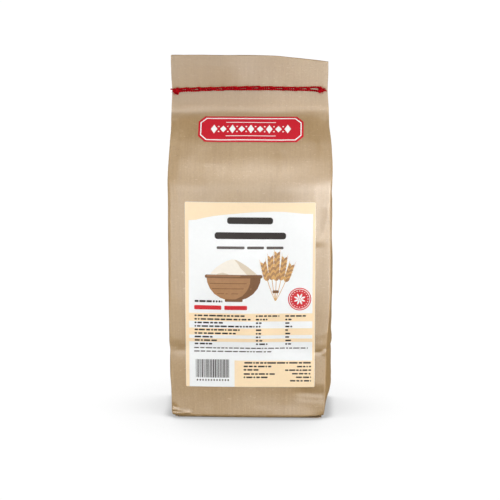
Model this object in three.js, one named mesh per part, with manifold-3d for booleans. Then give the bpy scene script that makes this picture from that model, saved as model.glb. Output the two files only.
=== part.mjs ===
// A one-kilogram paper bag of flour: a gusseted block-bottom kraft bag, filled, pressed flat
// at the top and closed with a thick sewn chain of cord, with two paper stickers on its front.
// Millimetres, +Z up, the front looks along -Y, the origin is under the middle of the base.
import * as THREE from "three";
import { mergeVertices } from "three/addons/utils/BufferGeometryUtils.js";
import Module from "manifold-3d";

const wasm = await Module();
wasm.setup();

// ---- driving dimensions -------------------------------------------------------------------
const PANEL_W = 120; // width of the front and back paper panels, crease to crease
const GUSSET_W = 72; // width of each side gusset, crease to crease
const BAG_H = 276.3; // base to cut top edge, at the left
const TOP_SLOPE = 0.112; // how steeply the cut edge runs down at the right
const TOP_TURN_X = 20; // where it starts to run down
const TOP_TURN_SOFT = 7; // how gently it turns there
const FLAT_Z = 232; // above this the bag is pressed flat
const FLAT_T = 1.8; // thickness of the flat top, four layers and a little air
const NOTCH_Z = 226.5; // top of the notch where a side gusset is folded in
const SHOULDER_Z = 176; // where the front starts to lean back towards the flat top
const BELLY_Z = 150; // height of the fullest section

const FOOT_HALF_D = 34.4; // half depth at the vertical creases, at the base
const BELLY_HALF_D = 34.0; // the same at the belly
const FOOT_HALF_W = 59.1; // half width at the vertical creases, at the base
const BELLY_HALF_W = 60.8; // the same at the belly
const BULGE_Z = 196; // where the right creases bulge most, in the shoulder
const BULGE = 3.5; // how far they do
const BULGE_LEFT = 0.4; // how far the left ones do
const BELLY_OUT = 2.5; // how far the filling spreads the right creases at the belly
const FRONT_SWELL = 5.2; // how far the middle of the front stands proud of its creases
const BACK_SWELL = 4.6; // the same at the back
const RIGHT_SWELL = 3.1; // the same on the right gusset
const LEFT_SWELL = 1.9; // the same on the left gusset
const FOOT_ROUND = 2.6; // rounding between the walls and the base
const FOLD_Z = 54; // the crease left by the flat-folded bottom
const FOLD_DEPTH = 0.9; // depth of that crease

const SEAM_Z = 251.4; // height of the sewn line in the middle
const SEAM_SAG_LEFT = 1.9; // how much lower it ends at the left
const SEAM_SAG_RIGHT = 1; // the same at the right
const STITCH = 9.2; // one stitch
const STITCHES = 13;
const SEAM_X0 = -57.2; // the first hole
const CORD_R = 0.75; // radius of one strand
const LINK_R = 1.5; // half height of a chain link on the front
const HOLE_R = 1.15; // radius of a stitch hole
const GAP = 0.3; // clearance between separate pieces

const LABEL = { x0: -47.6, x1: 50.8, z0: 24.9, z1: 168.9 };
const BADGE = { x0: -38.6, x1: 41.4, z0: 212.4, z1: 230, corner: 5 };
const STICKER_T = 0.3;

// ---- the shape of the paper ---------------------------------------------------------------
const clamp01 = (t) => Math.min(1, Math.max(0, t));
const ease = (t) => {
  const u = clamp01(t);
  return u * u * (3 - 2 * u);
};
const mix = (a, b, t) => a + (b - a) * t;
const bump = (t) => Math.exp(-t * t);

// The height share of the shoulder curve, 0 where the lean starts and 1 at the flat top, turned
// into the share of the depth that is left: a Bezier arc that starts upright and ends leaning.
function shoulder(z) {
  const t = clamp01((z - SHOULDER_Z) / (FLAT_Z - SHOULDER_Z));
  const zs = [0, 0.4, 0.74, 1];
  const ds = [1, 1, 0.47, 0];
  const bez = (p, u) =>
    p[0] * (1 - u) ** 3 +
    3 * p[1] * u * (1 - u) ** 2 +
    3 * p[2] * u * u * (1 - u) +
    p[3] * u ** 3;
  let lo = 0;
  let hi = 1;
  for (let i = 0; i < 40; i++) {
    const m = (lo + hi) / 2;
    if (bez(zs, m) < t) lo = m;
    else hi = m;
  }
  return bez(ds, lo);
}

const halfDepth = (z) => {
  const body = mix(FOOT_HALF_D, BELLY_HALF_D, ease(z / BELLY_Z));
  return FLAT_T / 2 + (body - FLAT_T / 2) * shoulder(z);
};
const halfWidth = (z) => {
  const up = mix(BELLY_HALF_W, FOOT_HALF_W, (1 - clamp01(z / BELLY_Z)) ** 2);
  return mix(up, PANEL_W / 2, ease((z - SHOULDER_Z) / (FLAT_Z - SHOULDER_Z)));
};
const swell = (z) => {
  const low = mix(0.25, 1, ease(z / BELLY_Z));
  return low * shoulder(z);
};
const spread = (z) => BELLY_OUT * ease((z - 52) / 44) * (1 - ease((z - 150) / 42));
// How full a gusset is: hollow at the base, and filled a little differently on the two sides.
const sideSwell = (z, right) => {
  const s = mix(-0.3, 1, ease(z / (right ? 25 : 34))) * (1 - ease((z - 150) / 34));
  if (!right) return s - 0.5 * bump((z - 78) / 46);
  const more = 0.3 * bump((z - 105) / 17) + 0.12 * bump((z - 28) / 12) + 0.2 * bump((z - 165) / 14);
  return s + more - spread(z) / RIGHT_SWELL;
};
// How far the middle crease of a gusset is drawn in: a paper half-gusset keeps its width.
function tuck(z) {
  if (z > NOTCH_Z) return 0;
  const half = GUSSET_W / 2;
  const d = Math.min(half, halfDepth(z) + 2);
  return Math.sqrt(Math.max(0, half * half - d * d)) * ease((z - 180) / 18);
}
const foldCrease = (z) =>
  -FOLD_DEPTH * bump((z - FOLD_Z) / 2.6) - 0.5 * (1 - ease((z - FOLD_Z) / 8)) * ease(z / 20);
const footInset = (z) => {
  if (z >= FOOT_ROUND) return 0;
  const t = 1 - z / FOOT_ROUND;
  return FOOT_ROUND * (1 - Math.sqrt(Math.max(0, 1 - t * t)));
};
// The shoulder pushes its creases out, the right ones much more than the left.
const bulge = (side, z) =>
  side > 0
    ? BULGE * bump((z - BULGE_Z) / (z > BULGE_Z ? 28 : 21)) + spread(z)
    : -BULGE_LEFT * bump((z - BULGE_Z) / 16);
// Radius of the vertical edges: crisp near the base and in the shoulder, softer at the belly.
const edgeRound = (z) =>
  z > FLAT_Z - 14
    ? mix(1.2, 0.05, ease((z - FLAT_Z + 14) / 14))
    : mix(1.3, 2.2, ease((z - 40) / 90)) * mix(1, 0.6, ease((z - 178) / 36));

// A point of the paper: s runs round the bag from the front left crease, in millimetres of paper.
const AROUND = 2 * (PANEL_W + GUSSET_W);
function sharp(s, z) {
  const u = ((s % AROUND) + AROUND) % AROUND;
  const w = halfWidth(z) - footInset(z) + 0.5 * foldCrease(z);
  const d = halfDepth(z) - footInset(z) + foldCrease(z) * shoulder(z);
  const panel = (v, side, full) => {
    const q = (2 * v) / PANEL_W - 1; // -1 at one crease, 1 at the other
    const more = bulge(side * q < 0 ? 1 : -1, z) * q * q;
    return [-side * q * w + more, side * (d + full * swell(z) * (1 - q * q))];
  };
  const gusset = (v, side) => {
    const q = (2 * v) / GUSSET_W - 1;
    const full = side > 0 ? RIGHT_SWELL : LEFT_SWELL;
    const out = full * sideSwell(z, side > 0) * (1 - q * q) - tuck(z) * (1 - Math.abs(q));
    return [side * (w + out) + bulge(side, z), side * q * d];
  };
  if (u < PANEL_W) return panel(u, -1, FRONT_SWELL);
  if (u < PANEL_W + GUSSET_W) return gusset(u - PANEL_W, 1);
  if (u < 2 * PANEL_W + GUSSET_W) return panel(u - PANEL_W - GUSSET_W, 1, BACK_SWELL);
  return gusset(u - 2 * PANEL_W - GUSSET_W, -1);
}
// The same with its edges rounded, by averaging along the paper.
function paper(s, z) {
  const r = edgeRound(z);
  const p = [0, 0];
  let total = 0;
  for (let k = -4; k <= 4; k++) {
    const weight = 5 - Math.abs(k);
    const q = sharp(s + (k * r) / 3, z);
    p[0] += q[0] * weight;
    p[1] += q[1] * weight;
    total += weight;
  }
  return [p[0] / total, p[1] / total];
}
const seamZ = (x) => SEAM_Z - (x < 0 ? SEAM_SAG_LEFT : SEAM_SAG_RIGHT) * (x / 60) ** 2;
const topEdge = (x) =>
  BAG_H - TOP_SLOPE * TOP_TURN_SOFT * Math.log1p(Math.exp((x - TOP_TURN_X) / TOP_TURN_SOFT));

// ---- the bag ------------------------------------------------------------------------------
function along(width, parts, near) {
  // stations across a panel, closer together beside its creases
  const inner = [];
  for (let i = 0; i <= parts; i++) inner.push(near + ((width - 2 * near) * i) / parts);
  return [0, near * 0.33, ...inner, width - near * 0.33];
}
const stations = [
  ...along(PANEL_W, 14, 5).map((v) => v),
  ...along(GUSSET_W, 8, 5).map((v) => v + PANEL_W),
  ...along(PANEL_W, 14, 5).map((v) => v + PANEL_W + GUSSET_W),
  ...along(GUSSET_W, 8, 5).map((v) => v + 2 * PANEL_W + GUSSET_W),
];
const levels = [0, 0.35, 1.2, FOOT_ROUND, 8, 16, 26, 37, 46];
for (const dz of [-3.5, -1.2, 1.2, 3.5]) levels.push(FOLD_Z + dz);
for (let z = 64; z <= 172; z += 12) levels.push(z);
for (let z = 178; z < 220; z += 5) levels.push(z);
levels.push(222.5, NOTCH_Z, 229.4, FLAT_Z - 0.1);
function bagGeometry() {
  const n = stations.length;
  const points = [];
  for (const z of levels)
    for (const s of stations) points.push(...paper(s, z), z);
  // the flat top is solid: its side edges run straight up, drawn in a little by the seam
  const shares = [0.03, 0.24, 0.42, 0.6, 1];
  for (const share of shares)
    for (const s of stations) {
      const z = mix(FLAT_Z, topEdge(sharp(s, FLAT_Z + 1)[0]), share);
      const [x, y] = sharp(s, z);
      const pinch = bump((z - seamZ(x)) / 9);
      const loose = 1 + 0.1 * Math.sin(x / 11 + z / 9) + 0.16 * ease((share - 0.5) * 2);
      points.push(x * (1 - 0.01 * pinch), y * (loose - 0.12 * pinch), z);
    }
  const rows = levels.length + shares.length;
  const index = [];
  for (let i = 0; i + 1 < rows; i++)
    for (let j = 0; j < n; j++) {
      const a = i * n + j;
      const b = i * n + ((j + 1) % n);
      index.push(a, b, b + n, a, b + n, a + n);
    }
  const outline = (row) =>
    stations.map((_, j) => {
      const o = (row * n + j) * 3;
      return new THREE.Vector2(points[o], points[o + 1]);
    });
  for (const [a, b, c] of THREE.ShapeUtils.triangulateShape(outline(0), []))
    index.push(a, c, b);
  const last = (rows - 1) * n;
  for (const [a, b, c] of THREE.ShapeUtils.triangulateShape(outline(rows - 1), []))
    index.push(last + a, last + b, last + c);
  const g = new THREE.BufferGeometry();
  g.setAttribute("position", new THREE.Float32BufferAttribute(points, 3));
  g.setIndex(index);
  return g;
}

// ---- joining and cutting ------------------------------------------------------------------
function toSolid(geometry) {
  const bare = (geometry.index ? geometry.toNonIndexed() : geometry).clone();
  for (const name of Object.keys(bare.attributes))
    if (name !== "position") bare.deleteAttribute(name);
  const merged = mergeVertices(bare, 1e-4);
  return new wasm.Manifold(
    new wasm.Mesh({
      numProp: 3,
      vertProperties: new Float32Array(merged.attributes.position.array),
      triVerts: new Uint32Array(merged.index.array),
    }),
  );
}
function toGeometry(solid) {
  const m = solid.getMesh();
  const v = new Float32Array(m.numVert * 3);
  for (let i = 0; i < m.numVert; i++)
    v.set(m.vertProperties.subarray(i * m.numProp, i * m.numProp + 3), i * 3);
  const g = new THREE.BufferGeometry();
  g.setAttribute("position", new THREE.BufferAttribute(v, 3));
  g.setIndex(new THREE.BufferAttribute(new Uint32Array(m.triVerts), 1));
  g.computeVertexNormals();
  return g;
}

// ---- the sewn cord ------------------------------------------------------------------------
const holes = Array.from({ length: STITCHES }, (_, i) => SEAM_X0 + i * STITCH);
const FRONT_Y = -(FLAT_T / 2 + GAP + 1.05); // middle of the chain on the front
const BACK_Y = FLAT_T / 2 + GAP + CORD_R; // middle of the running stitch on the back

function peg(x, radius, y0, y1, sides) {
  const g = new THREE.CylinderGeometry(radius, radius, y1 - y0, sides);
  g.translate(x, (y0 + y1) / 2, 0);
  g.translate(0, 0, seamZ(x));
  return g;
}
function link(x0, x1, lift) {
  // one chain link: a long flattened bead that leans a little, thicker at its looped end
  const profile = [];
  const steps = 6;
  for (let i = 0; i <= steps; i++) {
    const t = i / steps;
    const r = Math.sin(Math.PI * Math.min(0.999, Math.max(0.001, t))) ** 0.55;
    profile.push(new THREE.Vector2(i === 0 || i === steps ? 0 : r * mix(0.82, 1, t), t));
  }
  const g = new THREE.LatheGeometry(profile, 8);
  g.rotateZ(-Math.PI / 2); // its length along +X
  g.scale(x1 - x0, LINK_R, 1.05);
  const swap = new THREE.Matrix4().set(1, 0, 0, 0, 0, 0, 1, 0, 0, 1, 0, 0, 0, 0, 0, 1);
  g.applyMatrix4(swap);
  const flip = g.index.array;
  for (let i = 0; i < flip.length; i += 3) [flip[i + 1], flip[i + 2]] = [flip[i + 2], flip[i + 1]];
  g.rotateY(-lift);
  g.translate(x0, FRONT_Y, seamZ((x0 + x1) / 2));
  return g;
}
function knot(x, z, rx, ry, rz) {
  const g = new THREE.SphereGeometry(1, 12, 8);
  g.scale(rx, ry, rz);
  g.translate(x, -(FLAT_T / 2 + GAP + ry), z);
  return g;
}
let cord = null;
const joinTo = (g) => {
  const s = toSolid(g);
  cord = cord ? cord.add(s) : s;
};
holes.forEach((x, i) => {
  const next = i + 1 < holes.length ? holes[i + 1] : x + 6;
  joinTo(link(x - 1.4, next + 1.2, i % 2 ? 0.045 : -0.045));
  joinTo(peg(x, CORD_R, FRONT_Y, BACK_Y, 8));
});
{
  // the running stitch on the back
  const run = new THREE.CylinderGeometry(CORD_R, CORD_R, holes.at(-1) - holes[0] + 3, 8, 12);
  run.rotateZ(Math.PI / 2);
  run.translate((holes[0] + holes.at(-1)) / 2, BACK_Y, 0);
  const p = run.attributes.position;
  for (let i = 0; i < p.count; i++) p.setZ(i, p.getZ(i) + seamZ(p.getX(i)));
  joinTo(run);
}
joinTo(knot(-56.4, seamZ(-56.4) - 0.6, 4.1, 1.9, 3.2)); // the knot at the left
joinTo(knot(54.4, seamZ(54.4) + 0.2, 3.4, 1.8, 2.9)); // the knot at the right
{
  // the short tail that passes over the left edge
  const tail = new THREE.CylinderGeometry(CORD_R, CORD_R, 4.6, 8);
  tail.rotateZ(Math.PI / 2);
  tail.translate(-59.6, FRONT_Y + 0.3, seamZ(-59) + 0.9);
  joinTo(tail);
}

// ---- the stickers -------------------------------------------------------------------------
// The place along the front's paper that lies at x, at the height z.
function stationAt(x, z) {
  let s = x + PANEL_W / 2;
  for (let i = 0; i < 4; i++) s += x - paper(s, z)[0];
  return s;
}
// A thin sheet that follows the front: columns at the places xs, each between low(x) and
// high(x), with rows at the given shares of that height.
function sticker(xs, low, high, shares) {
  const place = (x, z, off) => {
    const at = (xx, zz) => {
      const [px, py] = paper(stationAt(xx, zz), zz);
      return new THREE.Vector3(px, py, zz);
    };
    const p = at(x, z);
    const across = at(x + 0.5, z).sub(at(x - 0.5, z));
    const up = at(x, z + 0.5).sub(at(x, z - 0.5));
    const normal = across.cross(up).normalize();
    return p.addScaledVector(normal, off);
  };
  const columns = xs.length - 1;
  const rows = shares.length - 1;
  const points = [];
  for (const off of [GAP, GAP + STICKER_T])
    for (const x of xs)
      for (const share of shares) {
        const p = place(x, mix(low(x), high(x), share), off);
        points.push(p.x, p.y, p.z);
      }
  const index = [];
  const m = rows + 1;
  const back = 0;
  const front = (columns + 1) * m;
  const quad = (a, b, c, d) => index.push(a, b, c, a, c, d);
  for (let i = 0; i < columns; i++)
    for (let j = 0; j < rows; j++) {
      const a = i * m + j;
      quad(front + a, front + a + m, front + a + m + 1, front + a + 1);
      index.push(back + a, back + a + m + 1, back + a + m);
      index.push(back + a, back + a + 1, back + a + m + 1);
    }
  for (let i = 0; i < columns; i++) {
    const a = i * m;
    quad(back + a, back + a + m, front + a + m, front + a);
    const b = i * m + rows;
    quad(front + b, front + b + m, back + b + m, back + b);
  }
  for (let j = 0; j < rows; j++) {
    quad(front + j, front + j + 1, back + j + 1, back + j);
    const b = columns * m + j;
    quad(back + b, back + b + 1, front + b + 1, front + b);
  }
  const g = new THREE.BufferGeometry();
  g.setAttribute("position", new THREE.Float32BufferAttribute(points, 3));
  g.setIndex(index);
  return toGeometry(toSolid(g));
}
// The label keeps to the stations and levels of the bag under it.
const between = (list, lo, hi) => [lo, ...list.filter((v) => v > lo + 1 && v < hi - 1), hi];
const labelXs = between(
  stations.filter((v) => v < PANEL_W).map((v) => v - PANEL_W / 2),
  LABEL.x0,
  LABEL.x1,
);
const labelShares = between(levels, LABEL.z0, LABEL.z1).map(
  (z) => (z - LABEL.z0) / (LABEL.z1 - LABEL.z0),
);
// The badge has cut corners.
const corner = (x) => {
  const inside = Math.min(x - BADGE.x0, BADGE.x1 - x);
  return inside < BADGE.corner ? (BADGE.corner - inside) * 0.72 : 0;
};
const badgeXs = [BADGE.x0, BADGE.x0 + BADGE.corner];
for (let i = 1; i < 9; i++)
  badgeXs.push(mix(BADGE.x0 + BADGE.corner, BADGE.x1 - BADGE.corner, i / 9));
badgeXs.push(BADGE.x1 - BADGE.corner, BADGE.x1);

// ---- the object ---------------------------------------------------------------------------
const group = new THREE.Group();
function put(name, geometry, color, roughness) {
  const mesh = new THREE.Mesh(
    geometry,
    new THREE.MeshStandardMaterial({ color, roughness, metalness: 0 }),
  );
  mesh.name = name;
  group.add(mesh);
}
let bag = toSolid(bagGeometry());
for (const x of holes) bag = bag.subtract(toSolid(peg(x, HOLE_R, -6, 6, 8)));
put("bag", toGeometry(bag), 0xc8ad86, 0.6);
put("seam_cord", toGeometry(cord), 0x9a0a12, 0.85);
put("label", sticker(labelXs, () => LABEL.z0, () => LABEL.z1, labelShares), 0xfbf4e6, 0.4);
put(
  "badge",
  sticker(
    badgeXs,
    (x) => BADGE.z0 + corner(x),
    (x) => BADGE.z1 - corner(x),
    [0, 0.2, 0.4, 0.6, 0.8, 1],
  ),
  0xc81b2c,
  0.4,
);

export default group;
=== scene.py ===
import math
import random

import bmesh
import bpy
import numpy as np
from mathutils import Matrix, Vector


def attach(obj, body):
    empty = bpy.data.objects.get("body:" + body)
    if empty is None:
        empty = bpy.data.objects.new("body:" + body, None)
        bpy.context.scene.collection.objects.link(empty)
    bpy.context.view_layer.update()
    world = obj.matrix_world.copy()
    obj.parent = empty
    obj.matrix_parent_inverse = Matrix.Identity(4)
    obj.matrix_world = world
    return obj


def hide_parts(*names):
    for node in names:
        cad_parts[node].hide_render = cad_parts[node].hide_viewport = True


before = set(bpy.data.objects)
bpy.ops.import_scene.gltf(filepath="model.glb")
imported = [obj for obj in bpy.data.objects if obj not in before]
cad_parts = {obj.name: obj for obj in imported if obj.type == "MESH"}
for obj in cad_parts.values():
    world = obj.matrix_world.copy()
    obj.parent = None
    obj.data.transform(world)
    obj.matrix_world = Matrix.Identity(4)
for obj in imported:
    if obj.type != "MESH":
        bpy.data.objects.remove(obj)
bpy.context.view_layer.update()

MM = 0.001

# ---------------------------------------------------------------- the shape of the paper (mm)
PANEL_W, GUSSET_W, BAG_H, TOP_DROP = 120.0, 72.0, 277.0, 4.6
FLAT_Z, FLAT_T, SHOULDER_Z, BELLY_Z = 232.0, 1.8, 176.0, 150.0
FOOT_HALF_D, BELLY_HALF_D, FOOT_HALF_W, BELLY_HALF_W = 34.4, 34.0, 59.1, 60.8
FRONT_SWELL, BACK_SWELL, RIGHT_SWELL, LEFT_SWELL = 5.2, 4.6, 3.1, 1.9
FOOT_ROUND, FOLD_Z = 2.6, 54.0
SEAM_Z, SAG_LEFT, SAG_RIGHT, STITCH, STITCHES, SEAM_X0 = 251.4, 1.9, 1.0, 9.2, 13, -57.2
LABEL = (-47.8, 51.0, 24.9, 168.9)
BADGE = (-38.6, 41.4, 212.4, 230.0)
AROUND = 2 * (PANEL_W + GUSSET_W)
BASE_Z = 0.16  # the paper of the base, over the folded flaps


def ease(t):
    u = np.clip(t, 0, 1)
    return u * u * (3 - 2 * u)


def mix(a, b, t):
    return a + (b - a) * t


def bump(t):
    return np.exp(-t * t)


_u = np.linspace(0, 1, 4001)


def _bez(p, u):
    return (
        p[0] * (1 - u) ** 3
        + 3 * p[1] * u * (1 - u) ** 2
        + 3 * p[2] * u * u * (1 - u)
        + p[3] * u**3
    )


_zs, _ds = _bez((0, 0.4, 0.74, 1), _u), _bez((1, 1, 0.47, 0), _u)


# the bend into the flat top is a soft one: the profile is averaged over a few millimetres there
_zt = np.arange(-40.0, 330.0, 0.25)
_raw = np.interp(np.clip((_zt - SHOULDER_Z) / (FLAT_Z - SHOULDER_Z), 0, 1), _zs, _ds)
_kernel = np.concatenate([np.arange(1, 53), np.arange(51, 0, -1)]).astype(float)
_soft = np.convolve(_raw, _kernel / _kernel.sum(), "same")
_soft = np.interp(_zt - 1.5, _zt, _soft)
_near = np.clip((30 - np.abs(_zt - (FLAT_Z + 2))) / 12, 0, 1)
_profile = _raw + (_soft - _raw) * _near * _near * (3 - 2 * _near)


def shoulder(z):
    return np.interp(z, _zt, _profile)


def half_depth(z):
    body = mix(FOOT_HALF_D, BELLY_HALF_D, ease(z / BELLY_Z))
    return FLAT_T / 2 + (body - FLAT_T / 2) * shoulder(z)


def half_width(z):
    up = mix(BELLY_HALF_W, FOOT_HALF_W, (1 - np.clip(z / BELLY_Z, 0, 1)) ** 2)
    return mix(up, PANEL_W / 2, ease((z - SHOULDER_Z) / (FLAT_Z - SHOULDER_Z)))


def swell(z):
    return mix(0.25, 1, ease(z / BELLY_Z)) * shoulder(z)


def spread(z):
    """How far the filling spreads the right creases at the belly."""
    return 2.5 * ease((z - 52) / 44) * (1 - ease((z - 150) / 42))


def side_swell(z, right):
    """How far a gusset swells: a little differently on the two sides."""
    s = mix(-0.3, 1, ease(z / (25 if right else 34))) * (1 - ease((z - 150) / 34))
    if right:
        low = 0.12 * bump((z - 28) / 12) + 0.32 * bump((z - 19) / 5.5) - 0.2 * bump((z - 66) / 6)
        return s + 0.3 * bump((z - 105) / 17) + low + 0.2 * bump((z - 165) / 14) - spread(z) / RIGHT_SWELL
    return s - 0.5 * bump((z - 78) / 46)


def tuck(z):
    half = GUSSET_W / 2
    d = np.minimum(half, half_depth(z) + 1.2)
    return np.sqrt(np.maximum(0, half * half - d * d)) * ease((z - 180) / 18)


def fold_crease(z):
    return -0.5 * (1 - ease((z - FOLD_Z) / 14)) * ease(z / 20)


def foot_inset(z):
    t = np.clip(1 - (z - BASE_Z) / FOOT_ROUND, 0, 1)
    return FOOT_ROUND * (1 - np.sqrt(np.maximum(0, 1 - t * t)))


def edge_round(z):
    a = mix(1.2, 0.05, ease((z - FLAT_Z + 14) / 14))
    b = mix(0.9, 1.7, ease((z - 40) / 90)) * mix(1, 0.6, ease((z - 178) / 36))
    return np.where(z > FLAT_Z - 14, a, b)


def bulge_right(z):
    return 3.5 * bump((z - 196) / np.where(z > 196, 28.0, 21.0)) + spread(z)


def bulge_left(z):
    return -0.5 * bump((z - 195) / 16)


def sharp(s, z):
    u = np.mod(s, AROUND)
    w = half_width(z) - foot_inset(z) + 0.5 * fold_crease(z)
    d = half_depth(z) - foot_inset(z) + fold_crease(z) * shoulder(z)
    right, left = bulge_right(z), bulge_left(z)
    t = tuck(z)

    def panel(v, side, full):
        q = 2 * v / PANEL_W - 1
        m = np.where(side * q < 0, right, left) * q * q
        return -side * q * w + m, side * (d + full * swell(z) * (1 - q * q))

    def gusset(v, side):
        q = 2 * v / GUSSET_W - 1
        full = RIGHT_SWELL if side > 0 else LEFT_SWELL
        out = full * side_swell(z, side > 0) * (1 - q * q) - t * (1 - np.abs(q))
        return side * (w + out) + (right if side > 0 else left), side * q * d

    parts = (
        panel(u, -1, FRONT_SWELL),
        gusset(u - PANEL_W, 1),
        panel(u - PANEL_W - GUSSET_W, 1, BACK_SWELL),
        gusset(u - 2 * PANEL_W - GUSSET_W, -1),
    )
    where = [u < PANEL_W, u < PANEL_W + GUSSET_W, u < 2 * PANEL_W + GUSSET_W]
    return tuple(np.select(where, [parts[k][i] for k in range(3)], parts[3][i]) for i in (0, 1))


def seam_z(x):
    return SEAM_Z - np.where(np.asarray(x) < 0, SAG_LEFT, SAG_RIGHT) * (x / 60) ** 2


def top_edge(x):
    """The cut edge: level at the left, then running down to the right."""
    return BAG_H - 0.7 - 0.112 * 7 * np.log1p(np.exp((x - 20) / 7)) + 7.4 * lean(x)


# ---------------------------------------------------------------- seeded unevenness
def _lattice(a, b, seed):
    n = (a * 374761393 + b * 668265263 + seed * 974634777) & 0xFFFFFFFF
    n = ((n ^ (n >> 13)) * 1274126177) & 0xFFFFFFFF
    return ((n ^ (n >> 16)) & 0xFFFF) / 32767.5 - 1


def noise_at(s, z, around, step_z, seed):
    """Smooth noise from -1 to 1, with a whole number of cells round the bag."""
    u = np.mod(s, AROUND) / AROUND * around
    v = np.asarray(z) / step_z + 100
    iu, iv = np.floor(u).astype(np.int64), np.floor(v).astype(np.int64)
    fu, fv = u - iu, v - iv
    su, sv = (f**3 * (f * (f * 6 - 15) + 10) for f in (fu, fv))
    h = lambda a, b: _lattice(np.mod(a, around), b, seed)
    low = h(iu, iv) * (1 - su) + h(iu + 1, iv) * su
    high = h(iu, iv + 1) * (1 - su) + h(iu + 1, iv + 1) * su
    return low * (1 - sv) + high * sv


def fold_line(s, z, a, b, height, width, soft=0.16, bend=0.0):
    """A crease between two points of the paper, sharp along its line and fading at its ends."""
    ax, az, bx, bz = *a, *b
    length = math.hypot(bx - ax, bz - az)
    ux, uz = (bx - ax) / length, (bz - az) / length
    t = ((s - ax) * ux + (z - az) * uz) / length
    d = -(s - ax) * uz + (z - az) * ux - bend * 4 * t * (1 - t)
    fade = ease(t / soft) * ease((1 - t) / soft)
    return height * fade * np.exp(-np.sqrt((d / width) ** 2 + 0.02) + 0.141)


# creases that lie at random, seeded: (start, end, height, width)
_rng = random.Random(41)
SMALL_FOLDS = []
for _ in range(64):
    _s0, _z0 = _rng.uniform(0, AROUND), _rng.uniform(4, 228)
    _len, _ang = _rng.uniform(9, 34), _rng.gauss(0, 0.75) + _rng.choice((0, math.pi / 2))
    SMALL_FOLDS.append(
        (
            (_s0, _z0),
            (_s0 + _len * math.cos(_ang), _z0 + _len * math.sin(_ang)),
            _rng.choice((-1, 1)) * _rng.uniform(0.05, 0.2),
            _rng.uniform(1.0, 2.6),
        )
    )
# creases that the photograph shows on the front: in millimetres from the left crease and base
FRONT_FOLDS = [
    ((-1.0, 7.0), (16.0, 4.0), 0.55, 0.8, -0.4),
    ((-0.5, 3.6), (16.5, 3.6), 0.5, 0.7, -0.1),
    ((0.0, 5.2), (11.0, 4.6), -0.4, 0.6, 0.0),
    ((-1.5, 9.0), (4.5, 8.4), -0.7, 1.1, 0.0),
    ((120.4, 54.2), (117.2, 50.0), 0.7, 0.8, 0.0),
    ((121.0, 56.0), (117.0, 54.4), -0.5, 0.9, 0.0),
    ((118.5, 168.0), (109.0, 134.0), 0.5, 3.6, 1.5),
    ((2.0, 229.0), (9.5, 213.0), -0.4, 1.6, 0.6),
    ((117.5, 230.0), (110.0, 212.0), -0.42, 1.7, -0.6),
    ((20.0, 226.0), (27.0, 206.0), 0.22, 3.0, 0.8),
    ((94.0, 226.0), (86.0, 204.0), 0.24, 3.2, -0.8),
    ((0.5, 236.5), (6.0, 235.8), -0.5, 0.9, 0.0),
    ((0.3, 242.0), (4.5, 241.6), -0.4, 0.8, 0.0),
]
HOLES = [SEAM_X0 + i * STITCH for i in range(STITCHES)]


def lean(x):
    """How steeply the flat top leans forward: at the left, and hardly at the right."""
    return 0.07 * (0.5 - 0.5 * np.tanh((x - 18) / 26.0))


def wave(x, z):
    """How far the whole flat top sways to the back, front and back plies together."""
    up = ease((z - FLAT_Z) / 40)
    sway = 0.55 * np.sin(x / 17.0 + 0.6) + 0.3 * np.sin(x / 8.3 + 2.1 + z / 60) + 0.5 * np.sin(x / 44.0 - 0.8)
    over = np.maximum(z - FLAT_Z, 0)
    return up * sway - lean(x) * over * over / (over + 6)


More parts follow.
